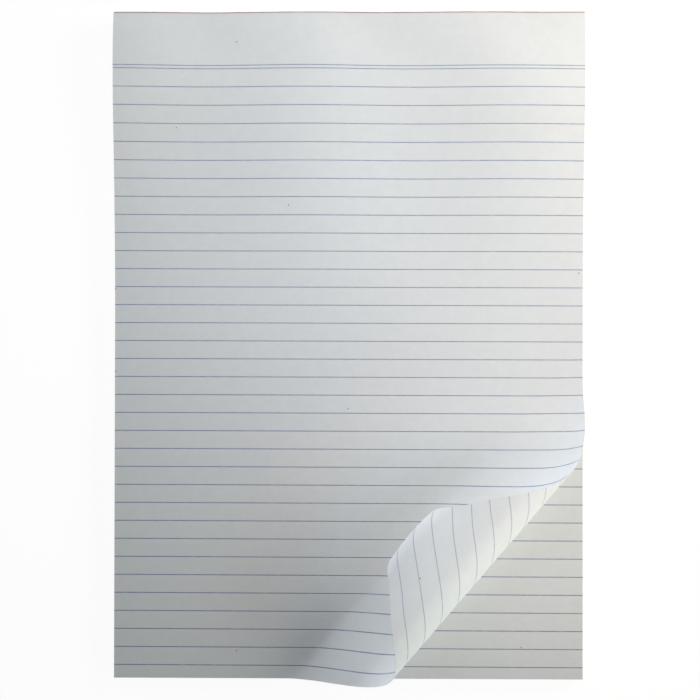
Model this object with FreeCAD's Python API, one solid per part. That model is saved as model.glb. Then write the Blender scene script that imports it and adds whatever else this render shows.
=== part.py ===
import FreeCAD, Part
import os
from math import asin, atan, cos, hypot, pi, sin
from typing import NamedTuple

from FreeCAD import Base, Matrix, Vector

# A4 writing pad, glued along its head, lying face up with one corner of its top leaf rolled over.
# Millimetres. +X is to the right, +Y is towards the glued head, +Z is up.
# The origin is under the middle of the pad, on the surface that it lies on.

# The leaves
leaf_width = 210.0
leaf_length = 297.0
leaf_thickness = 0.1
leaves_in_block = 49

# The stiffener and the glue
board_thickness = 0.8
gum_thickness = 0.45

# The glue has swollen the leaves near the head: they rise to a crest, then dip to the glued edge
crest_from_head = 24.0
swell_run = 110.0
swell_rise = 4.0
crest_radius = 330.0

# Where the line at which the top leaf lifts meets the tail edge and the right edge,
# both measured from the corner that is rolled over
lift_along_tail = 133.3
lift_up_side = 155.0

# The roll as tangent arcs of the leaf's underside, from the lift line to the corner:
# radii, and how far the leaf turns on each, in degrees
lift_radius = 18.0
lift_turn = 14.8
slope_radius = 85.0
slope_turn = 11.8
roll_radius = 15.9
roll_turn = 158.8
crown_radius = 52.0
crown_turn = 15.8
tip_radius = 5.5

DEGREE = pi / 180.0
UP = Vector(0.0, 0.0, 1.0)

left_x = -leaf_width / 2.0
right_x = leaf_width / 2.0
tail_y = -(leaf_length + gum_thickness) / 2.0
head_y = tail_y + leaf_length
block_base_z = board_thickness
block_top_z = block_base_z + leaves_in_block * leaf_thickness
swell_foot_y = head_y - crest_from_head - swell_run

# The top leaf is made this much too long at the head, then trimmed flush with the block
trim_allowance = 20.0 * leaf_thickness


class Bend(NamedTuple):
    """One arc of a leaf's section: its radius, the angle it turns (plus is upwards), and its start."""

    radius: float
    turn: float
    slope: float
    start: float
    centre_run: float
    centre_height: float

    def length(self):
        """Length of the arc, along the underside."""
        return self.radius * abs(self.turn)

    def point(self, turned):
        """Run and height where the arc has turned by an angle."""
        side = 1.0 if self.turn > 0 else -1.0
        angle = self.slope + side * turned
        return (
            self.centre_run + side * self.radius * sin(angle),
            self.centre_height - side * self.radius * cos(angle),
        )


def chain_of_bends(turns):
    """Tangent arcs from a flat start, out of pairs of radius and turn in radians."""
    bends = []
    run, height = 0.0, 0.0
    slope = 0.0
    start = 0.0
    for radius, turn in turns:
        side = 1.0 if turn > 0 else -1.0
        centre_run = run - side * radius * sin(slope)
        centre_height = height + side * radius * cos(slope)
        bend = Bend(radius, turn, slope, start, centre_run, centre_height)
        bends.append(bend)
        run, height = bend.point(abs(turn))
        slope += turn
        start += bend.length()
    return bends


def swell_bends():
    """The foot of the swell, which curves up, and its crest, which curves down to the head edge."""
    steepest = 2.0 * atan(swell_rise / swell_run)
    foot_radius = swell_run / sin(steepest) - crest_radius
    dip = asin(crest_from_head / crest_radius)
    return chain_of_bends([(foot_radius, steepest), (crest_radius, -(steepest + dip))])


def head_height():
    """Height of the block's top at the head edge, above its flat part."""
    crest = swell_bends()[-1]
    return crest.point(abs(crest.turn))[1]


class Frame(NamedTuple):
    """Where a leaf starts to bend: a point on that line, the way across it, and the way along it."""

    origin: Vector
    across: Vector
    along: Vector

    def flat(self, along, run, height):
        """A point of the leaf that isn't bent."""
        return self.origin + self.along * along + self.across * run + UP * height

    def cylinder(self, bend, radius):
        """The cylinder of a bend, with its angle counted from straight up towards across."""
        centre = self.flat(0.0, bend.centre_run, bend.centre_height)
        surface = Part.Cylinder()
        surface.Radius = radius
        place = Matrix(
            UP.x, self.across.x, self.along.x, centre.x,
            UP.y, self.across.y, self.along.y, centre.y,
            UP.z, self.across.z, self.along.z, centre.z,
            0.0, 0.0, 0.0, 1.0,
        )
        surface.transform(place)
        return surface


def face_on_cylinder(frame, bend, radius, corners):
    """A face with straight sides on the flat leaf, wrapped on a cylinder.

    corners are pairs of the place along the cylinder and the distance run along the leaf.
    Returns the face and its edges, in the order of the corners.
    """
    surface = frame.cylinder(bend, radius)
    side = 1.0 if bend.turn > 0 else -1.0
    straight_up = pi if bend.turn > 0 else 0.0
    wrapped = []
    for along, run in corners:
        slope = bend.slope + side * (run - bend.start) / bend.radius
        wrapped.append(Base.Vector2d(straight_up - slope, along))
    edges = []
    for first, second in zip(wrapped, wrapped[1:] + wrapped[:1]):
        segment = Part.Geom2d.Line2dSegment(first, second)
        edges.append(segment.toShape(surface))
    return Part.Face(surface, Part.Wire(edges)), edges


def face_in_plane(corners):
    """A flat face with straight sides, and its edges."""
    wire = Part.makePolygon(corners + corners[:1])
    return Part.Face(wire), wire.Edges


def rim(lower_edges, upper_edges, outer):
    """The leaf's cut edge, on the sides listed in outer."""
    same_way = 1
    return [Part.makeRuledSurface(lower_edges[side], upper_edges[side], same_way) for side in outer]


def bent_strip(frame, bend, corners, outer):
    """Both faces and the cut edges of the strip of leaf that lies on one bend."""
    inward = leaf_thickness if bend.turn > 0 else -leaf_thickness
    lower, lower_edges = face_on_cylinder(frame, bend, bend.radius, corners)
    upper, upper_edges = face_on_cylinder(frame, bend, bend.radius - inward, corners)
    return [lower, upper] + rim(lower_edges, upper_edges, outer)


def flat_strip(corners, outer):
    """Both faces and the cut edges of the flat part of the leaf."""
    lower, lower_edges = face_in_plane([Vector(x, y, block_top_z) for x, y in corners])
    upper, upper_edges = face_in_plane([Vector(x, y, block_top_z + leaf_thickness) for x, y in corners])
    return [lower, upper] + rim(lower_edges, upper_edges, outer)


def swell_strips():
    """The top leaf from the foot of the swell to a little past the head edge."""
    foot = Vector(left_x, swell_foot_y, block_top_z)
    frame = Frame(foot, across=Vector(0.0, 1.0, 0.0), along=Vector(-1.0, 0.0, 0.0))
    faces = []
    bends = swell_bends()
    for bend in bends:
        last = bend is bends[-1]
        end = bend.start + bend.length() + (trim_allowance if last else 0.0)
        corners = [(0.0, bend.start), (-leaf_width, bend.start), (-leaf_width, end), (0.0, end)]
        outer = [1, 2, 3] if last else [1, 3]
        faces += bent_strip(frame, bend, corners, outer)
    return faces


def roll_strips():
    """The top leaf from the lift line to its corner, which is rolled up and over."""
    lift_length = hypot(lift_along_tail, lift_up_side)
    along = Vector(lift_along_tail / lift_length, lift_up_side / lift_length, 0.0)
    across = Vector(along.y, -along.x, 0.0)
    lift_start = Vector(right_x - lift_along_tail, tail_y, block_top_z)
    frame = Frame(lift_start, across, along)
    corner_run = lift_along_tail * across.x
    corner_along = lift_along_tail * along.x

    def tail_edge(run):
        return corner_along * run / corner_run

    def right_edge(run):
        return lift_length + (corner_along - lift_length) * run / corner_run

    turns = [
        (lift_radius, lift_turn * DEGREE),
        (slope_radius, slope_turn * DEGREE),
        (roll_radius, roll_turn * DEGREE),
        (crown_radius, crown_turn * DEGREE),
    ]
    left_over = corner_run - sum(radius * turn for radius, turn in turns)
    turns.append((tip_radius, left_over / tip_radius))
    faces = []
    bends = chain_of_bends(turns)
    for bend in bends[:-1]:
        end = bend.start + bend.length()
        corners = [
            (tail_edge(bend.start), bend.start),
            (right_edge(bend.start), bend.start),
            (right_edge(end), end),
            (tail_edge(end), end),
        ]
        faces += bent_strip(frame, bend, corners, [1, 3])
    tip = bends[-1]
    corners = [
        (tail_edge(tip.start), tip.start),
        (right_edge(tip.start), tip.start),
        (corner_along, corner_run),
    ]
    faces += bent_strip(frame, tip, corners, [1, 2])
    return faces


def make_top_sheet():
    """The top leaf as one solid: swollen at the head, flat, and rolled over at one corner."""
    flat_corners = [
        (left_x, tail_y),
        (right_x - lift_along_tail, tail_y),
        (right_x, tail_y + lift_up_side),
        (right_x, swell_foot_y),
        (left_x, swell_foot_y),
    ]
    faces = flat_strip(flat_corners, [0, 2, 4]) + swell_strips() + roll_strips()
    shell = Part.makeShell(faces)
    shell.sewShape()
    leaf = Part.makeSolid(shell)
    if leaf.Volume < 0:
        leaf.reverse()
    waste = Part.makeBox(
        leaf_width + 2.0 * trim_allowance,
        2.0 * trim_allowance,
        2.0 * (block_top_z + swell_rise),
        Vector(left_x - trim_allowance, head_y, 0.0),
    )
    return leaf.cut(waste)


def make_sheet_block():
    """The leaves under the top one, as one solid with the swollen head."""

    def on_section(run, height):
        return Vector(left_x, swell_foot_y + run, block_top_z + height)

    edges = []
    bends = swell_bends()
    for bend in bends:
        turned = abs(bend.turn)
        places = [on_section(*bend.point(share * turned)) for share in (0.0, 0.5, 1.0)]
        edges.append(Part.Arc(*places).toShape())
    outline = [
        on_section(*bends[-1].point(abs(bends[-1].turn))),
        Vector(left_x, head_y, block_base_z),
        Vector(left_x, tail_y, block_base_z),
        Vector(left_x, tail_y, block_top_z),
        on_section(0.0, 0.0),
    ]
    edges += Part.makePolygon(outline).Edges
    section = Part.Face(Part.Wire(Part.__sortEdges__(edges)))
    return section.extrude(Vector(leaf_width, 0.0, 0.0))


def make_back_board():
    """The chipboard stiffener under the leaves."""
    return Part.makeBox(leaf_width, leaf_length, board_thickness, Vector(left_x, tail_y, 0.0))


def make_gum_strip():
    """The film of padding gum that holds board and leaves together along the head."""
    height = block_top_z + head_height() + leaf_thickness
    return Part.makeBox(leaf_width, gum_thickness, height, Vector(left_x, head_y, 0.0))


pieces = {
    "back_board": make_back_board,
    "sheet_block": make_sheet_block,
    "top_sheet": make_top_sheet,
    "gum_strip": make_gum_strip,
}

os.makedirs("parts", exist_ok=True)
for name, make in pieces.items():
    make().exportStep("parts/" + name + ".step")
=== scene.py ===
import logging
import random
from dataclasses import dataclass
from enum import Enum
from math import asin, atan, cos, degrees, hypot, pi, radians, sin
from typing import Callable, Iterable

import bpy
from bpy.types import Material, Node, NodeSocket, NodeTree, Object
from mathutils import Matrix, Vector, noise


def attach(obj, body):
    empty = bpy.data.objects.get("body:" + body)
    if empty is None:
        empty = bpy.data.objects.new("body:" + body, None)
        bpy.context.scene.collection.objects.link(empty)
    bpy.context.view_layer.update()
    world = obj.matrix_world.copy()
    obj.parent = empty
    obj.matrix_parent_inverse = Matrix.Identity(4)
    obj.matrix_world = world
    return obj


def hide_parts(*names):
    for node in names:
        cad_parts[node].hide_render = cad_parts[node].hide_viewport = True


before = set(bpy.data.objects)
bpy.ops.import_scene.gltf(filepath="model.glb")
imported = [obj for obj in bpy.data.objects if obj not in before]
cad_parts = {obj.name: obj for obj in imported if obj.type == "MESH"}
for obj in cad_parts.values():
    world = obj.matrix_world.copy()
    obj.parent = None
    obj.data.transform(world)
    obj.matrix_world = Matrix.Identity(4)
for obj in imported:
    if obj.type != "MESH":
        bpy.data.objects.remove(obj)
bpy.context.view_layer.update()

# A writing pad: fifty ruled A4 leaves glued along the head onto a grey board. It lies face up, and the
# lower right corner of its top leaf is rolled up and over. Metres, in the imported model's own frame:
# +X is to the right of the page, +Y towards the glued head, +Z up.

MM = 0.001
WHITE = (1.0, 1.0, 1.0, 1.0)
SHARP = 60.0
LOG = logging.getLogger("writing_pad")


# Shared helpers


def srgb(colour: str) -> tuple[float, float, float, float]:
    """Turn an sRGB hex colour into linear red, green, blue and alpha.

    Args:
        colour: Six hex digits after a hash sign.

    Returns:
        The four linear values that a colour socket takes.
    """
    shares = [int(colour[place:place + 2], 16) / 255.0 for place in (1, 3, 5)]
    linear = [s / 12.92 if s <= 0.04045 else ((s + 0.055) / 1.055) ** 2.4 for s in shares]
    return (linear[0], linear[1], linear[2], 1.0)


def add_node(
    tree: NodeTree,
    kind: str,
    inputs: dict[str | int, object] | None = None,
    **settings: object,
) -> Node:
    """Add one node with its settings and its inputs.

    Args:
        tree: The node tree that gets the node.
        kind: The node's type name, without the word ShaderNode in front.
        inputs: What each input socket is set to, or the socket that it is linked to, or the node
            whose first output it is linked to.
        settings: Values for the node's own properties.

    Returns:
        The new node.
    """
    node = tree.nodes.new("ShaderNode" + kind)
    for name, value in settings.items():
        setattr(node, name, value)
    for key, value in (inputs or {}).items():
        socket = node.inputs[key]
        value = value.outputs[0] if isinstance(value, Node) else value
        if isinstance(value, NodeSocket):
            tree.links.new(value, socket)
        else:
            socket.default_value = value
    return node


def new_material(name: str) -> tuple[Material, NodeTree]:
    """Make an empty node material.

    Args:
        name: The material's name.

    Returns:
        The material and its node tree.
    """
    material = bpy.data.materials.new(name)
    material.use_nodes = True
    material.node_tree.nodes.clear()
    return material, material.node_tree


def add_surface(
    tree: NodeTree,
    colour: NodeSocket,
    roughness: float | Node,
    specular: float,
    normal: Node | None = None,
) -> None:
    """End a material with its surface.

    Args:
        tree: The material's node tree.
        colour: Where its colour comes from.
        roughness: How rough it is, or where that comes from.
        specular: How strongly it mirrors, low for paper and board, which are full of air.
        normal: Where its bumps come from, if it has any.
    """
    inputs = {"Base Color": colour, "Roughness": roughness, "Specular IOR Level": specular}
    if normal:
        inputs["Normal"] = normal
    add_node(tree, "OutputMaterial", {"Surface": add_node(tree, "BsdfPrincipled", inputs)})


def smoothstep(share: float) -> float:
    """Ease from 0 to 1 as the share goes from 0 to 1."""
    share = min(max(share, 0.0), 1.0)
    return share * share * (3.0 - 2.0 * share)


def deselect_all() -> None:
    """Leave nothing selected, so that an operator acts on the new piece alone."""
    bpy.ops.object.select_all(action="DESELECT")


def pick(piece: Object) -> None:
    """Select one piece alone and make it the active one."""
    deselect_all()
    piece.select_set(True)
    bpy.context.view_layer.objects.active = piece


def settle(piece: Object) -> None:
    """Put the object's place, turn and scale into its mesh."""
    pick(piece)
    bpy.ops.object.transform_apply(location=True, rotation=True, scale=True)


def apply_modifier(piece: Object, kind: str, **settings: object) -> None:
    """Add a modifier with its settings, and apply it.

    Args:
        piece: The object that gets it.
        kind: The modifier's type name.
        settings: Values for the modifier's properties.
    """
    pick(piece)
    modifier = piece.modifiers.new(kind.lower(), kind)
    for name, value in settings.items():
        setattr(modifier, name, value)
    bpy.ops.object.modifier_apply(modifier=modifier.name)


def move_points(piece: Object, place: Callable[[Vector], Vector]) -> None:
    """Move each vertex of a mesh to where a function puts it.

    Args:
        piece: The object whose mesh is shaped.
        place: Gives a vertex's new place from its old one.
    """
    for vertex in piece.data.vertices:
        vertex.co = place(vertex.co.copy())
    piece.data.update()


def soften(piece: Object, angle: float = 35.0) -> None:
    """Shade smooth, with edges sharper than the angle in degrees left crisp."""
    pick(piece)
    bpy.ops.object.shade_smooth_by_angle(angle=radians(angle))


def round_edges(piece: Object, width: float, segments: int) -> None:
    """Bevel a piece's sharp edges.

    Args:
        piece: The object.
        width: How far the rounding reaches from each edge.
        segments: How many faces it gets.
    """
    corner = {"limit_method": "ANGLE", "angle_limit": radians(SHARP)}
    apply_modifier(piece, "BEVEL", width=width, segments=segments, **corner)


def plain_box(name: str, size: tuple[float, ...], middle: tuple[float, ...]) -> Object:
    """Start a piece as a box.

    Args:
        name: The piece's name.
        size: The box's sides.
        middle: Its middle.

    Returns:
        The box, with its place and size in its mesh.
    """
    deselect_all()
    bpy.ops.mesh.primitive_cube_add(size=1.0, location=middle)
    box = bpy.context.object
    box.name = name
    box.data.name = name
    box.scale = size
    settle(box)
    return box


@dataclass(frozen=True)
class Cut:
    """A straight cut across a flat leaf: a point on it, and the direction across it."""

    point: tuple[float, float]
    across: tuple[float, float]
    beyond: float | None = None


def score(piece: Object, cuts: Iterable[Cut]) -> None:
    """Divide a flat piece along straight cuts.

    Args:
        piece: The object, flat in its own X and Y.
        cuts: The cuts. One with a value in beyond divides only the faces above that Y.
    """
    pick(piece)
    bpy.ops.object.mode_set(mode="EDIT")
    bpy.ops.mesh.select_mode(type="FACE")
    for cut in cuts:
        if cut.beyond is not None:
            bpy.ops.mesh.select_all(action="DESELECT")
            bpy.ops.object.mode_set(mode="OBJECT")
            for face in piece.data.polygons:
                face.select = face.center.y > cut.beyond
            bpy.ops.object.mode_set(mode="EDIT")
        else:
            bpy.ops.mesh.select_all(action="SELECT")
        bpy.ops.mesh.bisect(
            plane_co=(cut.point[0], cut.point[1], 0.0),
            plane_no=(cut.across[0], cut.across[1], 0.0),
        )
    bpy.ops.object.mode_set(mode="OBJECT")


# Sizes and forms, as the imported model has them


@dataclass(frozen=True)
class PadSizes:
    """The sizes that the pad's parts share."""

    width: float = 210.0 * MM
    length: float = 297.0 * MM
    leaf: float = 0.1 * MM
    leaves_in_block: int = 49
    board: float = 0.8 * MM
    gum: float = 0.45 * MM

    @property
    def left(self) -> float:
        """X of the left edge."""
        return -self.width / 2.0

    @property
    def right(self) -> float:
        """X of the right edge."""
        return self.width / 2.0

    @property
    def tail(self) -> float:
        """Y of the tail edge."""
        return -(self.length + self.gum) / 2.0

    @property
    def head(self) -> float:
        """Y of the glued head edge."""
        return self.tail + self.length

    @property
    def block_top(self) -> float:
        """Z of the flat part of the block's top, under the top leaf."""
        return self.board + self.leaves_in_block * self.leaf


@dataclass(frozen=True)
class Arc:
    """One arc of a leaf's section: its radius, the angle it turns, and where it starts."""

    radius: float
    turn: float
    slope: float
    start: float
    run: float
    height: float

    @property
    def length(self) -> float:
        """Length of the arc, along the leaf."""
        return self.radius * abs(self.turn)

    def place(self, distance: float) -> tuple[float, float]:
        """Find the point at a distance along the leaf, counted from the first arc's start.

        Args:
            distance: The distance along the leaf.

        Returns:
            The run across and the height.
        """
        side = 1.0 if self.turn > 0.0 else -1.0
        angle = self.slope + side * (distance - self.start) / self.radius
        reach = side * self.radius
        return (self.run + reach * sin(angle), self.height - reach * cos(angle))


def chain_arcs(turns: Iterable[tuple[float, float]]) -> list[Arc]:
    """Join arcs end to end, each tangent to the one before it, from a flat start.

    Args:
        turns: Pairs of a radius and an angle in radians, plus where the leaf turns upwards.

    Returns:
        The arcs in order.
    """
    arcs: list[Arc] = []
    run, height, slope, start = 0.0, 0.0, 0.0, 0.0
    for radius, turn in turns:
        side = 1.0 if turn > 0.0 else -1.0
        centre_run = run - side * radius * sin(slope)
        centre_height = height + side * radius * cos(slope)
        arc = Arc(radius, turn, slope, start, centre_run, centre_height)
        arcs.append(arc)
        start += arc.length
        run, height = arc.place(start)
        slope += turn
    return arcs


@dataclass(frozen=True)
class HeadSwell:
    """The glue has swollen the leaves near the head: they rise to a crest, dip, and wave a little."""

    sizes: PadSizes = PadSizes()
    crest_from_head: float = 24.0 * MM
    run: float = 110.0 * MM
    rise: float = 4.0 * MM
    crest_radius: float = 330.0 * MM
    wave_height: float = 0.58 * MM
    wave_crest_x: float = -18.2 * MM
    wave_length: float = 92.8 * MM
    wave_start: float = 150.0 * MM
    wave_full: float = 240.0 * MM
    cockle_height: float = 0.75 * MM
    cockle_crest_x: float = -18.5 * MM
    cockle_length: float = 73.5 * MM
    cockle_skew: float = 0.35
    cockle_even: float = 0.75
    cockle_odd: float = 0.4
    odd_across: float = 2.0
    odd_layer: float = 4.7
    cockle_reach: float = 34.0 * MM
    grip_reach: float = 9.0 * MM
    grip_share: float = 0.45
    held_reach: float = 20.0 * MM
    held_share: float = 0.3
    lean: float = 0.62 * MM
    lean_reach: float = 24.0 * MM

    @property
    def foot(self) -> float:
        """Y at which the leaves start to rise."""
        return self.sizes.head - self.crest_from_head - self.run

    def section(self) -> list[Arc]:
        """The foot, which curves up, and the crest, which curves down to the head edge."""
        steepest = 2.0 * atan(self.rise / self.run)
        foot_radius = self.run / sin(steepest) - self.crest_radius
        dip = asin(self.crest_from_head / self.crest_radius)
        return chain_arcs([(foot_radius, steepest), (self.crest_radius, -(steepest + dip))])

    def height(self, x: float, y: float) -> float:
        """Rise of the block's top above its flat part.

        Args:
            x: Place across the page.
            y: Place along the page.

        Returns:
            The rise, never less than nothing.
        """
        run = y - self.foot
        smooth = 0.0
        if run > 0.0:
            foot, crest = self.section()
            arc = foot if run < foot.radius * sin(foot.turn) else crest
            offset = run - arc.run
            drop = (arc.radius * arc.radius - offset * offset) ** 0.5
            smooth = arc.height - drop if arc is foot else arc.height + drop
        from_tail = y - self.sizes.tail
        fade = smoothstep((from_tail - self.wave_start) / (self.wave_full - self.wave_start))
        wave = fade * self.wave_height * cos(2.0 * pi * (x - self.wave_crest_x) / self.wave_length)
        from_head = self.sizes.head - y
        near_head = smoothstep(1.0 - from_head / self.cockle_reach)
        loose = self.grip_share + (1.0 - self.grip_share) * smoothstep(from_head / self.grip_reach)
        cockle = near_head * loose * self.cockle_height * self.cockle_shape(x, y)
        free = self.held_share + (1.0 - self.held_share) * smoothstep(from_head / self.held_reach)
        return max(smooth + free * wave + cockle, 0.0)

    def slide(self, y: float) -> float:
        """How far the glue has pushed the top leaf out over the board, next to the head."""
        return self.lean * smoothstep(1.0 - (self.sizes.head - y) / self.lean_reach)

    def cockle_shape(self, x: float, y: float) -> float:
        """The short waves next to the gum, none quite like the next.

        Args:
            x: Place across the page.
            y: Place along the page.

        Returns:
            The waves' share of their height, from about minus one to one.
        """
        turn = 2.0 * pi * (x - self.cockle_crest_x) / self.cockle_length
        even = cos(turn + self.cockle_skew * (1.0 - cos(turn)))
        across, along = x / self.cockle_length, y / self.cockle_length
        odd = noise.noise(Vector((self.odd_across * across, along, self.odd_layer)))
        return self.cockle_even * even + self.cockle_odd * odd


@dataclass(frozen=True)
class CornerRoll:
    """The top leaf's lower right corner, rolled up and over as a chain of tangent arcs."""

    sizes: PadSizes = PadSizes()
    lift_along_tail: float = 133.3 * MM
    lift_up_side: float = 155.0 * MM
    turns: tuple[tuple[float, float], ...] = (
        (18.0 * MM, 14.8),
        (85.0 * MM, 11.8),
        (15.9 * MM, 158.8),
        (52.0 * MM, 15.8),
    )
    tip_radius: float = 5.5 * MM
    bulge_height: float = 2.3 * MM
    bulge_start: float = 4.0 * MM
    bulge_run: float = 42.0 * MM
    bulge_reach: float = 45.0 * MM
    late_drop: float = 2.6 * MM
    late_run: float = 30.0 * MM
    late_reach: float = 42.0 * MM
    pull_start: float = 20.0 * MM
    pull_run: float = 15.0 * MM
    pull: float = 0.45 * MM
    bow_start: float = 66.0 * MM
    bow_run: float = 15.0 * MM
    bow_middle: float = 0.3 * MM
    bow_ends: float = 1.5 * MM
    bow_half_width: float = 16.2 * MM
    bow_aside: float = 0.15
    bow_most: float = 1.5

    @property
    def lift_length(self) -> float:
        """Length of the line at which the leaf lifts, from the tail edge to the right edge."""
        return hypot(self.lift_along_tail, self.lift_up_side)

    @property
    def along(self) -> Vector:
        """Direction of the lift line, from the tail edge up to the right edge."""
        return Vector((self.lift_along_tail, self.lift_up_side, 0.0)) / self.lift_length

    @property
    def across(self) -> Vector:
        """Direction across the lift line, towards the corner."""
        return Vector((self.along.y, -self.along.x, 0.0))

    @property
    def origin(self) -> Vector:
        """Where the lift line meets the tail edge."""
        return Vector((self.sizes.right - self.lift_along_tail, self.sizes.tail, 0.0))

    @property
    def corner_run(self) -> float:
        """Distance from the lift line to the corner, along the leaf."""
        return self.lift_along_tail * self.across.x

    def arcs(self) -> list[Arc]:
        """The arcs of the roll, from the lift line to the corner."""
        turns = [(radius, radians(turn)) for radius, turn in self.turns]
        left_over = self.corner_run - sum(radius * turn for radius, turn in turns)
        return chain_arcs(turns + [(self.tip_radius, left_over / self.tip_radius)])

    def generators(self, step: float) -> list[Cut]:
        """Cuts along the roll, closer where it is tighter.

        Args:
            step: The angle between two cuts, in degrees.

        Returns:
            Cuts parallel to the lift line.
        """
        cuts: list[Cut] = []
        for arc in self.arcs():
            count = max(3, round(degrees(abs(arc.turn)) / step))
            for number in range(count):
                point = self.origin + self.across * (arc.start + arc.length * number / count)
                cuts.append(Cut((point.x, point.y), (self.across.x, self.across.y)))
        return cuts

    def place(self, spot: Vector) -> Vector:
        """Roll one point of the flat leaf.

        Args:
            spot: A point of the leaf before it was rolled.

        Returns:
            Its place on the roll, or the same point where the leaf is still flat.
        """
        offset = Vector((spot.x, spot.y, 0.0)) - self.origin
        distance = offset.dot(self.across)
        if distance <= 0.0:
            return spot
        arcs = self.arcs()
        arc = next((a for a in arcs if distance <= a.start + a.length), arcs[-1])
        run, height = arc.place(distance)
        level = offset.dot(self.along)
        rolled = self.origin + self.along * level + self.across * (run + self.bow(distance, level))
        height += self.bulge(distance, spot.y) - min(height, self.late_lift(distance, spot.x))
        return Vector((rolled.x, rolled.y, spot.z + height))

    def bulge(self, distance: float, y: float) -> float:
        """How much the roll is puffed up before its tight turn, next to the tail edge.

        Args:
            distance: Distance from the lift line, along the leaf.
            y: Place along the flat page.

        Returns:
            The height that it adds.
        """
        share = min(max((distance - self.bulge_start) / self.bulge_run, 0.0), 1.0)
        fade = smoothstep(1.0 - (y - self.sizes.tail) / self.bulge_reach)
        return self.bulge_height * fade * sin(pi * share) ** 2

    def bow(self, distance: float, level: float) -> float:
        """How the rolled part differs from a plain roll: pulled tighter, and bowed at its far end.

        Args:
            distance: Distance from the lift line, along the leaf.
            level: Place along the lift line, from the tail edge.

        Returns:
            The shift across the lift line, towards the corner.
        """
        middle = self.lift_along_tail * self.along.x + self.bow_aside * self.bow_half_width
        share = (level - middle) / self.bow_half_width
        fade = smoothstep((distance - self.bow_start) / self.bow_run)
        tighter = self.pull * smoothstep((distance - self.pull_start) / self.pull_run)
        bowed = self.bow_ends * min(share * share, self.bow_most) - self.bow_middle
        return fade * bowed - tighter

    def late_lift(self, distance: float, x: float) -> float:
        """How much lower the leaf lies next to its right edge, where it lifts late, with a soft crease.

        Args:
            distance: Distance from the lift line, along the leaf.
            x: Place across the flat page.

        Returns:
            The height that it takes off.
        """
        share = min(distance / self.late_run, 1.0)
        fade = smoothstep(1.0 - (self.sizes.right - x) / self.late_reach)
        return self.late_drop * fade * sin(pi * share) ** 2


@dataclass(frozen=True)
class Ruling:
    """Feint lines from edge to edge, all at one pitch, with a second line over the topmost one."""

    lines: int = 34
    pitch: float = 8.08 * MM
    last_from_tail: float = 5.74 * MM
    head_line_gap: float = 1.45 * MM
    line_width: float = 0.4 * MM
    skew: float = -0.0019

    def heights(self) -> list[float]:
        """Distance of each line's middle from the tail edge."""
        even = [self.last_from_tail + number * self.pitch for number in range(self.lines)]
        return even + [even[-1] + self.head_line_gap]

    def cuts(self, tail: float) -> list[Cut]:
        """Cuts along both sides of each line.

        Args:
            tail: Y of the tail edge.

        Returns:
            Two cuts for each line.
        """
        half = self.line_width / 2.0
        return [
            Cut((0.0, tail + height + side * half), (-self.skew, 1.0))
            for height in self.heights()
            for side in (-1.0, 1.0)
        ]

    def covers(self, across: float, from_tail: float) -> bool:
        """Whether a line passes over a place on the sheet.

        Args:
            across: The place's X, from the middle of the sheet.
            from_tail: Its distance from the tail edge.

        Returns:
            True on a line.
        """
        level = from_tail - self.skew * across
        return any(abs(level - height) < self.line_width / 2.0 for height in self.heights())


# Finishes


class LeafSlot(Enum):
    """The material slots of a leaf, in order.

    Solidify gives a face's cut edge the face's own slot plus CUT_EDGE, so ink gets CUT_LINE, and its
    other side the face's own slot plus OTHER_PAPER, so ink gets OTHER_INK.
    """

    PAPER = 0
    INK = 1
    CUT_EDGE = 2
    CUT_LINE = 3
    OTHER_PAPER = 4
    OTHER_INK = 5


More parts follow.
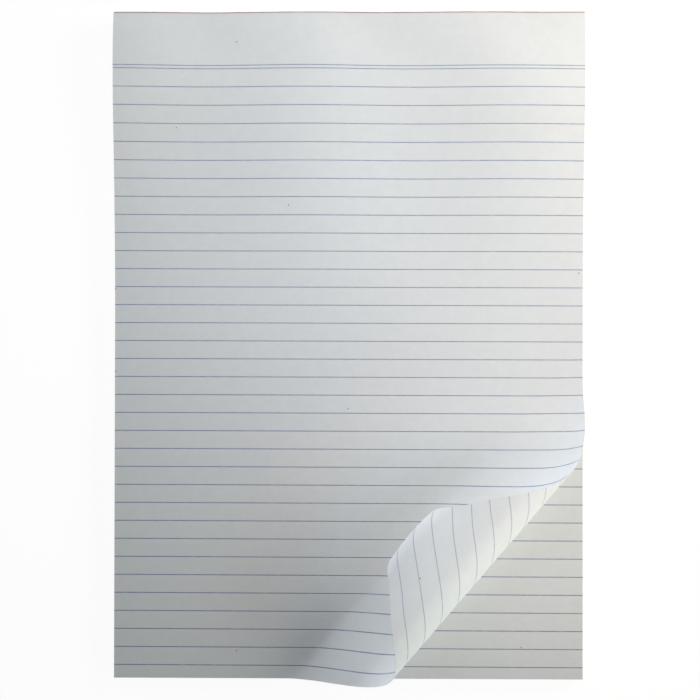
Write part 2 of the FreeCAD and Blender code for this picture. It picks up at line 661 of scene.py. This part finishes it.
@dataclass(frozen=True)
class WovePaper:
    """Uncoated wove writing paper, 80 g/m2, made on a wire and calendered once.

    It is bright, cool white and quite matt. Held against light it is cloudy, where fibres have flocked.
    Fibres mostly lie along the sheet. They are about 0.02 mm wide and can't show at this size, so they
    are drawn as soft streaks 0.5 mm wide. Here and there a speck of bark was left in the pulp.
    """

    name: str = "wove_paper"
    thick: str = "#EFF0F0"
    thin: str = "#E9EBEC"
    gum_stain: str = "#E4D5D2"
    speck: str = "#8C8984"
    width_mm: float = 210.0
    length_mm: float = 297.0
    flock_mm: float = 5.0
    streak_mm: float = 0.5
    stain_reach_mm: float = 0.9
    speck_mm: float = 0.55
    speck_apart_mm: float = 26.0
    speck_share: float = 0.12
    flock_detail: float = 4.0
    flock_roughness: float = 0.6
    cloudy: tuple[float, float] = (0.12, 0.40)
    streak_squash: float = 0.35
    stain_share: float = 0.7
    tooth: float = 0.25
    tooth_mm: float = 0.02
    roughness: float = 0.88
    specular: float = 0.25

    def material(self) -> Material:
        """Make the paper's material, on the leaf's own flat map."""
        material, tree = new_material(self.name)
        flat_map = add_node(tree, "TexCoord")
        page = add_node(
            tree,
            "Mapping",
            {"Vector": flat_map.outputs["UV"], "Scale": (self.width_mm, self.length_mm, 1.0)},
        )
        flocks = add_node(
            tree,
            "TexNoise",
            {
                "Vector": page,
                "Scale": 1.0 / self.flock_mm,
                "Detail": self.flock_detail,
                "Roughness": self.flock_roughness,
            },
        )
        lengthwise = add_node(
            tree, "Mapping", {"Vector": page, "Scale": (1.0, self.streak_squash, 1.0)}
        )
        streaks = add_node(
            tree, "TexNoise", {"Vector": lengthwise, "Scale": 1.0 / self.streak_mm, "Detail": 3.0}
        )
        both = add_node(tree, "Math", {0: flocks, 1: streaks}, operation="MULTIPLY")
        share = add_node(
            tree,
            "MapRange",
            {"Value": both, "From Min": self.cloudy[0], "From Max": self.cloudy[1]},
        )
        formation = add_node(
            tree, "Mix", {0: share, 6: srgb(self.thin), 7: srgb(self.thick)}, data_type="RGBA"
        )
        split = add_node(tree, "SeparateXYZ", {"Vector": page})
        soaked = add_node(
            tree,
            "MapRange",
            {
                "Value": split.outputs["Y"],
                "From Min": self.length_mm - self.stain_reach_mm,
                "From Max": self.length_mm,
                "To Max": self.stain_share,
            },
            interpolation_type="SMOOTHSTEP",
        )
        tinted = add_node(
            tree, "Mix", {0: soaked, 6: formation.outputs[2], 7: srgb(self.gum_stain)}, data_type="RGBA"
        )
        cells = add_node(
            tree,
            "TexVoronoi",
            {"Vector": page, "Scale": 1.0 / self.speck_apart_mm},
            voronoi_dimensions="2D",
        )
        small = add_node(
            tree,
            "Math",
            {0: cells, 1: 0.5 * self.speck_mm / self.speck_apart_mm},
            operation="LESS_THAN",
        )
        chosen = add_node(tree, "SeparateXYZ", {"Vector": cells.outputs["Color"]})
        few = add_node(
            tree, "Math", {0: chosen.outputs["X"], 1: self.speck_share}, operation="LESS_THAN"
        )
        bark = add_node(tree, "Math", {0: small, 1: few}, operation="MULTIPLY")
        specked = add_node(
            tree, "Mix", {0: bark, 6: tinted.outputs[2], 7: srgb(self.speck)}, data_type="RGBA"
        )
        tooth = add_node(
            tree, "Bump", {"Height": streaks, "Strength": self.tooth, "Distance": self.tooth_mm * MM}
        )
        add_surface(tree, specked.outputs[2], self.roughness, self.specular, tooth)
        return material


@dataclass(frozen=True)
class RulingInk:
    """Feint ruling ink, a thin water-based blue printed from rollers. It sinks in and stays matt.

    The rollers laid it on thinner towards the head, and a little unevenly along each line.
    """

    name: str = "ruling_ink"
    at_tail: str = "#8490B2"
    at_head: str = "#9CA8BE"
    starved: str = "#B9C0CE"
    patch_mm: float = 3.0
    bare: tuple[float, float] = (0.45, 0.8)
    bare_share: float = 0.8
    grain_mm: float = 0.4
    tooth: float = 0.2
    tooth_mm: float = 0.02
    roughness: float = 0.9
    specular: float = 0.2

    def material(self) -> Material:
        """Make the ink's material, with the paper's tooth under it."""
        material, tree = new_material(self.name)
        flat_map = add_node(tree, "TexCoord")
        split = add_node(tree, "SeparateXYZ", {"Vector": flat_map.outputs["UV"]})
        laid = add_node(
            tree,
            "Mix",
            {0: split.outputs["Y"], 6: srgb(self.at_tail), 7: srgb(self.at_head)},
            data_type="RGBA",
        )
        patches = add_node(
            tree,
            "TexNoise",
            {"Vector": flat_map.outputs["Object"], "Scale": 1.0 / (self.patch_mm * MM), "Detail": 3.0},
        )
        bare = add_node(
            tree,
            "MapRange",
            {
                "Value": patches,
                "From Min": self.bare[0],
                "From Max": self.bare[1],
                "To Max": self.bare_share,
            },
        )
        uneven = add_node(
            tree, "Mix", {0: bare, 6: laid.outputs[2], 7: srgb(self.starved)}, data_type="RGBA"
        )
        grain = add_node(
            tree,
            "TexNoise",
            {"Vector": flat_map.outputs["Object"], "Scale": 1.0 / (self.grain_mm * MM), "Detail": 2.0},
        )
        tooth = add_node(
            tree, "Bump", {"Height": grain, "Strength": self.tooth, "Distance": self.tooth_mm * MM}
        )
        add_surface(tree, uneven.outputs[2], self.roughness, self.specular, tooth)
        return material


@dataclass(frozen=True)
class GuillotinedEdge:
    """The cut edges of the leaves. A guillotine leaves them close and even, with faint ticks where the
    ruling runs off both sides. Their colours are painted greyer than the page's paper, as painted shade
    on the stack's cut sides.
    """

    ruling: Ruling = Ruling()
    name: str = "guillotined_edge"
    # Painted shade: light and dark are both greyer than the page's paper, for shade on the cut sides;
    # the fuzz mixes them at random.
    light: str = "#E6E6E3"
    dark: str = "#D2D1CC"
    tick: str = "#B4C2D8"
    length_mm: float = 297.0
    fuzz_mm: float = 1.0 / 0.9
    roughness: float = 0.92
    specular: float = 0.2

    def material(self) -> Material:
        """Make the cut edge's material, with the ticks placed by the leaf's own flat map."""
        material, tree = new_material(self.name)
        pitch_mm = self.ruling.pitch / MM
        last_mm = self.ruling.last_from_tail / MM
        flat_map = add_node(tree, "TexCoord")
        fuzz = add_node(
            tree,
            "TexNoise",
            {"Vector": flat_map.outputs["Object"], "Scale": 1.0 / (self.fuzz_mm * MM), "Detail": 3.0},
        )
        # Painted shade: the edge's paper colour, greyed for shade on the cut sides and varied at random
        # by the fuzz.
        paper = add_node(
            tree, "Mix", {0: fuzz, 6: srgb(self.dark), 7: srgb(self.light)}, data_type="RGBA"
        )
        split = add_node(tree, "SeparateXYZ", {"Vector": flat_map.outputs["UV"]})
        number = add_node(
            tree,
            "Math",
            {0: split.outputs["Y"], 1: self.length_mm / pitch_mm, 2: -last_mm / pitch_mm},
            operation="MULTIPLY_ADD",
        )
        nearest = add_node(tree, "Math", {0: number}, operation="ROUND")
        off = add_node(tree, "Math", {0: number, 1: nearest}, operation="SUBTRACT")
        apart = add_node(tree, "Math", {0: off}, operation="ABSOLUTE")
        on_line = add_node(
            tree,
            "Math",
            {0: apart, 1: 0.5 * self.ruling.line_width / self.ruling.pitch},
            operation="LESS_THAN",
        )
        ruled = add_node(
            tree,
            "Math",
            {0: number, 1: (self.ruling.lines - 1) / 2.0, 2: self.ruling.lines / 2.0},
            operation="COMPARE",
        )
        tick = add_node(tree, "Math", {0: on_line, 1: ruled}, operation="MULTIPLY")
        patchy = add_node(tree, "Math", {0: tick, 1: fuzz}, operation="MULTIPLY")
        inked = add_node(
            tree, "Mix", {0: patchy, 6: paper.outputs[2], 7: srgb(self.tick)}, data_type="RGBA"
        )
        add_surface(tree, inked.outputs[2], self.roughness, self.specular)
        return material


@dataclass(frozen=True)
class Chipboard:
    """Grey chipboard, pressed from unsorted waste paper. It is dull, warm grey and speckled with bits
    of dark and pale fibre up to a millimetre and a half long.
    """

    name: str = "chipboard"
    ground: str = "#8F887E"
    pulp: str = "#9E978C"
    dark_bit: str = "#5F5A55"
    pale_bit: str = "#BDB7AB"
    bit_mm: float = 1.5
    dark_lie: tuple[float, float] = (0.6, 3.0)
    pale_lie: tuple[float, float] = (2.1, 2.4)
    sparse: tuple[float, float] = (0.66, 0.72)
    bit_share: float = 0.75
    pulp_mm: float = 1.0 / 0.22
    pulp_roughness: float = 0.65
    dent: float = 0.5
    dent_mm: float = 0.06
    roughness: float = 0.93
    specular: float = 0.2

    def material(self) -> Material:
        """Make the board's material, on its place in the pad."""
        material, tree = new_material(self.name)
        place = add_node(tree, "TexCoord")
        pulp = add_node(
            tree,
            "TexNoise",
            {
                "Vector": place.outputs["Object"],
                "Scale": 1.0 / (self.pulp_mm * MM),
                "Detail": 6.0,
                "Roughness": self.pulp_roughness,
            },
        )
        ground = add_node(
            tree, "Mix", {0: pulp, 6: srgb(self.ground), 7: srgb(self.pulp)}, data_type="RGBA"
        )
        colour = ground.outputs[2]
        for bit, (turn, stretch) in ((self.dark_bit, self.dark_lie), (self.pale_bit, self.pale_lie)):
            lying = add_node(
                tree,
                "Mapping",
                {
                    "Vector": place.outputs["Object"],
                    "Rotation": (0.0, 0.0, turn),
                    "Scale": (1.0, stretch, 1.0),
                },
            )
            specks = add_node(
                tree, "TexNoise", {"Vector": lying, "Scale": 1.0 / (self.bit_mm * MM), "Detail": 2.0}
            )
            sparse = add_node(
                tree,
                "MapRange",
                {
                    "Value": specks,
                    "From Min": self.sparse[0],
                    "From Max": self.sparse[1],
                    "To Max": self.bit_share,
                },
            )
            mixed = add_node(tree, "Mix", {0: sparse, 6: colour, 7: srgb(bit)}, data_type="RGBA")
            colour = mixed.outputs[2]
        rough = add_node(
            tree, "Bump", {"Height": pulp, "Strength": self.dent, "Distance": self.dent_mm * MM}
        )
        add_surface(tree, colour, self.roughness, self.specular, rough)
        return material


@dataclass(frozen=True)
class PaddingGum:
    """Red padding compound, a water-based glue brushed over the head in two coats. It dries to a tough,
    faintly glossy skin with brush marks along the head, thicker here and thinner there.
    """

    name: str = "padding_gum"
    thick: str = "#8A6664"
    thin: str = "#AE918E"
    marks_per_metre: tuple[float, float, float] = (60.0, 1.0, 1400.0)
    marks_roughness: float = 0.6
    glossy: float = 0.34
    dull: float = 0.54
    ridge: float = 0.5
    ridge_mm: float = 0.08
    specular: float = 0.5

    def material(self) -> Material:
        """Make the gum's material, on its place in the pad."""
        material, tree = new_material(self.name)
        place = add_node(tree, "TexCoord")
        brushed = add_node(
            tree, "Mapping", {"Vector": place.outputs["Object"], "Scale": self.marks_per_metre}
        )
        marks = add_node(
            tree,
            "TexNoise",
            {
                "Vector": brushed,
                "Scale": 1.0,
                "Detail": 4.0,
                "Roughness": self.marks_roughness,
            },
        )
        skin = add_node(
            tree, "Mix", {0: marks, 6: srgb(self.thick), 7: srgb(self.thin)}, data_type="RGBA"
        )
        gloss = add_node(tree, "MapRange", {"Value": marks, "To Min": self.glossy, "To Max": self.dull})
        ridges = add_node(
            tree, "Bump", {"Height": marks, "Strength": self.ridge, "Distance": self.ridge_mm * MM}
        )
        add_surface(tree, skin.outputs[2], gloss, self.specular, ridges)
        return material


# The pad's parts


@dataclass(frozen=True)
class LeafFinish:
    """The materials that a leaf wears."""

    paper: Material
    ink: Material
    back_ink: Material
    edge: Material

    def dress(self, piece: Object) -> None:
        """Give a leaf its slots, in the order of LeafSlot."""
        piece.data.materials.clear()
        for material in (self.paper, self.ink, self.edge, self.edge, self.paper, self.back_ink):
            piece.data.materials.append(material)


def flat_leaf(name: str, sizes: PadSizes) -> Object:
    """Lay out one flat leaf at height nothing, with a flat map that follows it from then on.

    Args:
        name: The leaf's name.
        sizes: The pad's sizes.

    Returns:
        The leaf, a single face.
    """
    deselect_all()
    bpy.ops.mesh.primitive_plane_add(size=1.0, location=(0.0, (sizes.tail + sizes.head) / 2.0, 0.0))
    leaf = bpy.context.object
    leaf.name = name
    leaf.data.name = name
    leaf.scale = (sizes.width, sizes.length, 1.0)
    settle(leaf)
    return leaf


def thicken(piece: Object, thickness: float) -> None:
    """Give bent leaves their thickness, upwards, with the right slots on their other side and edges."""
    apply_modifier(
        piece,
        "SOLIDIFY",
        thickness=thickness,
        offset=1.0,
        material_offset=LeafSlot.OTHER_PAPER.value,
        material_offset_rim=LeafSlot.CUT_EDGE.value,
    )


def columns(sizes: PadSizes, spacing: float, beyond: float | None = None) -> list[Cut]:
    """Cuts up the page.

    Args:
        sizes: The pad's sizes.
        spacing: About how far apart they are.
        beyond: They divide only the part above this Y, or all of it without one.

    Returns:
        The cuts, at even steps.
    """
    count = round(sizes.width / spacing)
    step = sizes.width / count
    return [Cut((sizes.left + step * number, 0.0), (1.0, 0.0), beyond) for number in range(1, count)]


def rows(bottom: float, top: float, spacing: float) -> list[Cut]:
    """Cuts across the page.

    Args:
        bottom: Y of the first one.
        top: Y that they end before.
        spacing: About how far apart they are.

    Returns:
        The cuts, at even steps.
    """
    count = max(1, round((top - bottom) / spacing))
    step = (top - bottom) / count
    return [Cut((0.0, bottom + step * number), (0.0, 1.0)) for number in range(count)]


def ink_lines(piece: Object, ruling: Ruling, tail: float) -> None:
    """Give the strips between each line's two cuts the ink's slot.

    Args:
        piece: The flat leaf.
        ruling: Its lines.
        tail: Y of its tail edge.
    """
    for face in piece.data.polygons:
        on_line = ruling.covers(face.center.x, face.center.y - tail)
        face.material_index = LeafSlot.INK.value if on_line else LeafSlot.PAPER.value


@dataclass
class TopLeaf:
    """The top leaf: ruled on both sides, swollen at the head, its lower right corner rolled over."""

    sizes: PadSizes = PadSizes()
    swell: HeadSwell = HeadSwell()
    roll: CornerRoll = CornerRoll()
    ruling: Ruling = Ruling()
    roll_step: float = 4.0
    wide_column: float = 8.75 * MM
    before_foot: float = 20.0 * MM
    fine_column: float = 3.5 * MM
    fine_reach: float = 50.0 * MM
    row: float = 4.0 * MM
    row_reach: float = 24.0 * MM

    def build(self, finish: LeafFinish) -> Object:
        """Model the leaf.

        Args:
            finish: What the leaf wears.

        Returns:
            The finished piece.
        """
        head = self.sizes.head
        leaf = flat_leaf("top_leaf", self.sizes)
        finish.dress(leaf)
        score(leaf, self.ruling.cuts(self.sizes.tail))
        score(leaf, rows(head - self.row_reach, head, self.row))
        score(leaf, columns(self.sizes, self.wide_column, self.swell.foot - self.before_foot))
        score(leaf, columns(self.sizes, self.fine_column, head - self.fine_reach))
        score(leaf, self.roll.generators(self.roll_step))
        ink_lines(leaf, self.ruling, self.sizes.tail)
        move_points(leaf, self.place)
        thicken(leaf, self.sizes.leaf)
        soften(leaf)
        return leaf

    def place(self, spot: Vector) -> Vector:
        """Where a point of the flat leaf's underside ends up."""
        height = self.sizes.block_top + self.swell.height(spot.x, spot.y)
        slid = spot.y + self.swell.slide(spot.y)
        return self.roll.place(Vector((spot.x, slid, height)))


@dataclass
class LeafBlock:
    """The forty-nine leaves under the top one, each a sheet of its own, fanned apart at the head."""

    sizes: PadSizes = PadSizes()
    swell: HeadSwell = HeadSwell()
    ruling: Ruling = Ruling(last_from_tail=5.45 * MM)
    column: float = 15.0 * MM
    row: float = 13.0 * MM
    before_foot: float = 20.0 * MM
    filled: float = 0.97
    slack: float = 0.06 * MM
    loose_from: float = 60.0 * MM
    seed: int = 12

    def build(self, finish: LeafFinish) -> Object:
        """Model the block.

        Args:
            finish: What the leaves wear.

        Returns:
            The finished piece, all its leaves in one mesh.
        """
        draw = random.Random(self.seed)
        plain = flat_leaf("plain_leaf", self.sizes)
        finish.dress(plain)
        score(plain, rows(self.swell.foot, self.sizes.head, self.row))
        score(plain, columns(self.sizes, self.column, self.swell.foot - self.before_foot))
        leaves = [self.ruled_page(finish)]
        for number in range(self.sizes.leaves_in_block - 1):
            leaf = bpy.data.objects.new(f"leaf_{number}", plain.data.copy())
            bpy.context.scene.collection.objects.link(leaf)
            shift = Vector((draw.gauss(0.0, self.slack), draw.gauss(0.0, self.slack), 0.0))
            self.lay(leaf, number, shift)
            leaves.append(leaf)
        bpy.data.objects.remove(plain)
        deselect_all()
        for leaf in leaves:
            leaf.select_set(True)
        bpy.context.view_layer.objects.active = leaves[0]
        bpy.ops.object.join()
        block = bpy.context.object
        block.name = "leaf_block"
        block.data.name = "leaf_block"
        thicken(block, self.filled * self.sizes.leaf)
        soften(block)
        return block

    def ruled_page(self, finish: LeafFinish) -> Object:
        """Model the block's uppermost leaf, whose ruling shows under the rolled corner.

        Args:
            finish: What the leaf wears.

        Returns:
            The leaf, in its place.
        """
        page = flat_leaf("ruled_page", self.sizes)
        finish.dress(page)
        score(page, self.ruling.cuts(self.sizes.tail))
        score(page, columns(self.sizes, self.column, self.swell.foot - self.before_foot))
        ink_lines(page, self.ruling, self.sizes.tail)
        self.lay(page, self.sizes.leaves_in_block - 1, Vector((0.0, 0.0, 0.0)))
        return page

    def lay(self, leaf: Object, number: int, shift: Vector) -> None:
        """Lay a leaf in its place in the block.

        Args:
            leaf: The flat leaf.
            number: Its number, counted from the board up.
            shift: How far it lies out of line with the others.
        """
        share = number / self.sizes.leaves_in_block
        base = self.sizes.board + number * self.sizes.leaf

        def place(spot: Vector) -> Vector:
            """Where a point of the flat leaf ends up in the block."""
            rise = share * self.swell.height(spot.x, spot.y)
            slide = share * self.swell.slide(spot.y)
            loose = smoothstep((self.sizes.head - spot.y) / self.loose_from)
            return Vector((spot.x, spot.y + slide, base + rise)) + loose * shift

        move_points(leaf, place)


@dataclass
class BackBoard:
    """The chipboard stiffener under the leaves, its edges a little crushed by the guillotine."""

    sizes: PadSizes = PadSizes()
    crushed: float = 0.14 * MM
    fray: float = 0.05 * MM
    frays_per_metre: float = 700.0
    smooth_share: float = 0.05
    step: float = 5.0 * MM

    def build(self, finish: Material) -> Object:
        """Model the board.

        Args:
            finish: What it wears.

        Returns:
            The finished piece.
        """
        sizes = self.sizes
        board = plain_box(
            "chipboard_stiffener",
            size=(sizes.width, sizes.length, sizes.board),
            middle=(0.0, (sizes.tail + sizes.head) / 2.0, sizes.board / 2.0),
        )
        score(board, rows(sizes.tail + self.step, sizes.head, self.step))
        score(board, columns(sizes, self.step))
        round_edges(board, self.crushed, segments=3)
        move_points(board, self.frayed)
        board.data.materials.append(finish)
        soften(board, angle=50.0)
        return board

    def frayed(self, spot: Vector) -> Vector:
        """Roughen the cut sides and leave the flat faces alone.

        Args:
            spot: A point of the board.

        Returns:
            Its new place.
        """
        share = spot.z / self.sizes.board
        if self.smooth_share < share < 1.0 - self.smooth_share:
            wander = self.fray * noise.noise(spot * self.frays_per_metre)
            spot.x += wander if spot.x > 0.0 else -wander
            spot.y += wander if spot.y > 0.0 else -wander
        return spot


@dataclass
class GumFilm:
    """The skin of padding gum over the head, rounded over at its top and thicker here and there."""

    sizes: PadSizes = PadSizes()
    swell: HeadSwell = HeadSwell()
    rounding: float = 0.2 * MM
    unevenness: float = 0.10 * MM
    lumps_along: float = 160.0
    lumps_up: float = 300.0
    step: float = 3.0 * MM
    levels: int = 8

    @property
    def plain_height(self) -> float:
        """Height of the film where the head isn't swollen."""
        return self.sizes.block_top + self.sizes.leaf

    def build(self, finish: Material) -> Object:
        """Model the film.

        Args:
            finish: What it wears.

        Returns:
            The finished piece.
        """
        sizes = self.sizes
        film = plain_box(
            "gum_film",
            size=(sizes.width, sizes.gum, self.plain_height),
            middle=(0.0, sizes.head + sizes.gum / 2.0, self.plain_height / 2.0),
        )
        round_edges(film, self.rounding, segments=4)
        score(film, columns(sizes, self.step))
        straight = self.plain_height - 2.0 * self.rounding
        pick(film)
        bpy.ops.object.mode_set(mode="EDIT")
        for number in range(1, self.levels):
            level = self.rounding + straight * number / self.levels
            bpy.ops.mesh.select_all(action="SELECT")
            bpy.ops.mesh.bisect(plane_co=(0.0, 0.0, level), plane_no=(0.0, 0.0, 1.0))
        bpy.ops.object.mode_set(mode="OBJECT")
        move_points(film, self.place)
        film.data.materials.append(finish)
        soften(film, angle=SHARP)
        return film

    def place(self, spot: Vector) -> Vector:
        """Stretch the film up to the waving top leaf, and make its outer face uneven.

        Args:
            spot: A point of the plain film.

        Returns:
            Its new place.
        """
        top = self.plain_height + self.swell.height(spot.x, self.sizes.head)
        share = (spot.y - self.sizes.head) / self.sizes.gum
        lumps = noise.noise(Vector((spot.x * self.lumps_along, 0.0, spot.z * self.lumps_up)))
        lean = self.swell.lean * spot.z / self.plain_height
        spot.y += self.unevenness * lumps * max(share, 0.0) + lean
        spot.z *= top / self.plain_height
        return spot


# The studio


@dataclass(frozen=True)
class Lamp:
    """One soft panel: its place and aim, its width and height, its power in watts and its colour."""

    name: str
    place: tuple[float, float, float]
    width: float
    height: float
    power: float
    colour: str
    aim: tuple[float, float, float] = (0.0, 0.0, 0.0)

    def hang(self) -> None:
        """Hang the panel, out of the camera's sight."""
        light = bpy.data.lights.new(self.name, "AREA")
        light.shape = "ELLIPSE"
        light.size = self.width
        light.size_y = self.height
        light.energy = self.power
        light.color = srgb(self.colour)[:3]
        holder = bpy.data.objects.new(self.name, light)
        bpy.context.scene.collection.objects.link(holder)
        holder.location = self.place
        holder.visible_camera = False
        towards = Vector(self.aim) - Vector(self.place)
        holder.rotation_euler = towards.to_track_quat("-Z", "Y").to_euler()


ROLL_SPOT = (0.03, -0.05, 0.02)


@dataclass(frozen=True)
class Studio:
    """A plain pale floor, soft lamps that shade the page as in the photo, and the camera.

    The page there is lit low from the right and from the upper left, as from two windows, and from
    above its head. The lamps near the roll are small. To the eye, veil is the share of the floor's
    brightness that shadows can darken, and glow and sky are the rest of it and the room behind it.
    """

    lamps: tuple[Lamp, ...] = (
        Lamp("window_right", (1.8841, 0.0, 0.6709), 1.65, 0.80, 16.27, "#ECF8FF"),
        Lamp("window_upper_left", (-1.4091, 1.4091, 0.1708), 1.65, 0.33, 21.12, "#F5FBFF"),
        Lamp("upper_right", (0.3613, 0.2086, 0.1686), 0.20, 0.20, 1.356, "#FFF7E9"),
        Lamp("lower_right", (0.8300, -0.8300, 0.2495), 0.50, 0.50, 2.55, "#F4FFEB"),
        Lamp("head", (-0.1, 0.2, 0.2), 0.10, 0.10, 0.1212, "#FEFFFC", ROLL_SPOT),
        Lamp("middle", (0.0, 0.1, 0.2), 0.10, 0.10, 0.1122, "#E3EBFF", ROLL_SPOT),
        Lamp("roll_left", (0.05, -0.1, 0.12), 0.05, 0.05, 0.01429, "#E6F7FF", ROLL_SPOT),
        Lamp("roll_right", (0.12, -0.1, 0.12), 0.05, 0.05, 0.0217, "#FFE0C7", ROLL_SPOT),
    )
    floor_size: float = 6.0
    floor_colour: str = "#F4F4F2"
    fill_colour: str = "#EFF4FF"
    fill_strength: float = 0.03
    veil: float = 0.11
    glow: float = 0.935
    sky: float = 0.945
    eye: tuple[float, float, float] = (0.002888, -0.003075, 0.339213)
    tilt: tuple[float, float, float] = (-0.00480, -0.00648, -0.00167)
    lens: float = 38.19
    sensor: float = 36.0
    nearest: float = 0.01

    def build(self) -> None:
        """Set up the floor, the light and the camera."""
        self.lay_floor()
        for lamp in self.lamps:
            lamp.hang()
        self.fill_room()
        self.aim_camera()
        bpy.context.scene.view_settings.view_transform = "Standard"

    def seen_directly(self, tree: NodeTree) -> NodeSocket:
        """Tell rays that carry the background to the eye, straight, mirrored or through glass.

        Args:
            tree: The node tree that asks.

        Returns:
            A socket that is one for such rays and else nothing.
        """
        path = add_node(tree, "LightPath")
        mirrored = add_node(
            tree,
            "Math",
            {0: path.outputs["Is Camera Ray"], 1: path.outputs["Is Glossy Ray"]},
            operation="ADD",
        )
        through = add_node(
            tree,
            "Math",
            {0: mirrored, 1: path.outputs["Is Transmission Ray"]},
            operation="ADD",
            use_clamp=True,
        )
        return through.outputs[0]

    def lay_floor(self) -> None:
        """Lay the floor: near white to the eye, and still darker where the pad's shadow falls."""
        deselect_all()
        bpy.ops.mesh.primitive_plane_add(size=self.floor_size, location=(0.0, 0.0, 0.0))
        floor = bpy.context.object
        floor.name = "floor"
        material, tree = new_material("floor")
        plain = add_node(tree, "BsdfDiffuse", {"Color": srgb(self.floor_colour)})
        veil = add_node(tree, "BsdfDiffuse", {"Color": (self.veil, self.veil, self.veil, 1.0)})
        glow = add_node(tree, "Emission", {"Color": WHITE, "Strength": self.glow})
        bright = add_node(tree, "AddShader", {0: veil, 1: glow})
        chosen = add_node(tree, "MixShader", {0: self.seen_directly(tree), 1: plain, 2: bright})
        add_node(tree, "OutputMaterial", {"Surface": chosen.outputs[0]})
        floor.data.materials.append(material)

    def fill_room(self) -> None:
        """Fill the room with soft light, and show it white to the eye."""
        world = bpy.data.worlds.new("room")
        bpy.context.scene.world = world
        world.use_nodes = True
        tree = world.node_tree
        tree.nodes.clear()
        fill = add_node(
            tree, "Background", {"Color": srgb(self.fill_colour), "Strength": self.fill_strength}
        )
        white = add_node(tree, "Background", {"Color": WHITE, "Strength": self.sky})
        chosen = add_node(tree, "MixShader", {0: self.seen_directly(tree), 1: fill, 2: white})
        add_node(tree, "OutputWorld", {"Surface": chosen.outputs[0]})

    def aim_camera(self) -> None:
        """Hold the camera over the pad, where the photograph was taken from."""
        lens = bpy.data.cameras.new("camera")
        lens.sensor_width = self.sensor
        lens.lens = self.lens
        lens.clip_start = self.nearest
        camera = bpy.data.objects.new("camera", lens)
        bpy.context.scene.collection.objects.link(camera)
        about_x, about_y, about_z = (
            Matrix.Rotation(angle, 4, axis) for angle, axis in zip(self.tilt, "XYZ")
        )
        turn = about_x @ about_y @ about_z
        camera.matrix_world = Matrix.Translation(Vector(self.eye)) @ turn.transposed()
        bpy.context.scene.camera = camera


# Putting it together


def seat(piece: Object, node: str) -> None:
    """Make a piece stand for a node of the model, and log how many faces it has.

    Args:
        piece: The finished piece.
        node: The node that it replaces.
    """
    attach(piece, "root")
    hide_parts(node)
    LOG.info("%s: %d faces, for %s", piece.name, len(piece.data.polygons), node)


def main() -> None:
    """Build the studio and the pad's parts in order."""
    logging.basicConfig(level=logging.INFO, format="%(name)s %(message)s")
    Studio().build()
    leaves = LeafFinish(
        paper=WovePaper().material(),
        ink=RulingInk().material(),
        back_ink=RulingInk("back_ruling_ink", "#BCBFCC", "#C4C8D4", "#D2D5DD").material(),
        edge=GuillotinedEdge().material(),
    )
    seat(BackBoard().build(Chipboard().material()), "back_board")
    seat(LeafBlock().build(leaves), "sheet_block")
    seat(TopLeaf().build(leaves), "top_sheet")
    seat(GumFilm().build(PaddingGum().material()), "gum_strip")


if __name__ == "__main__":
    main()
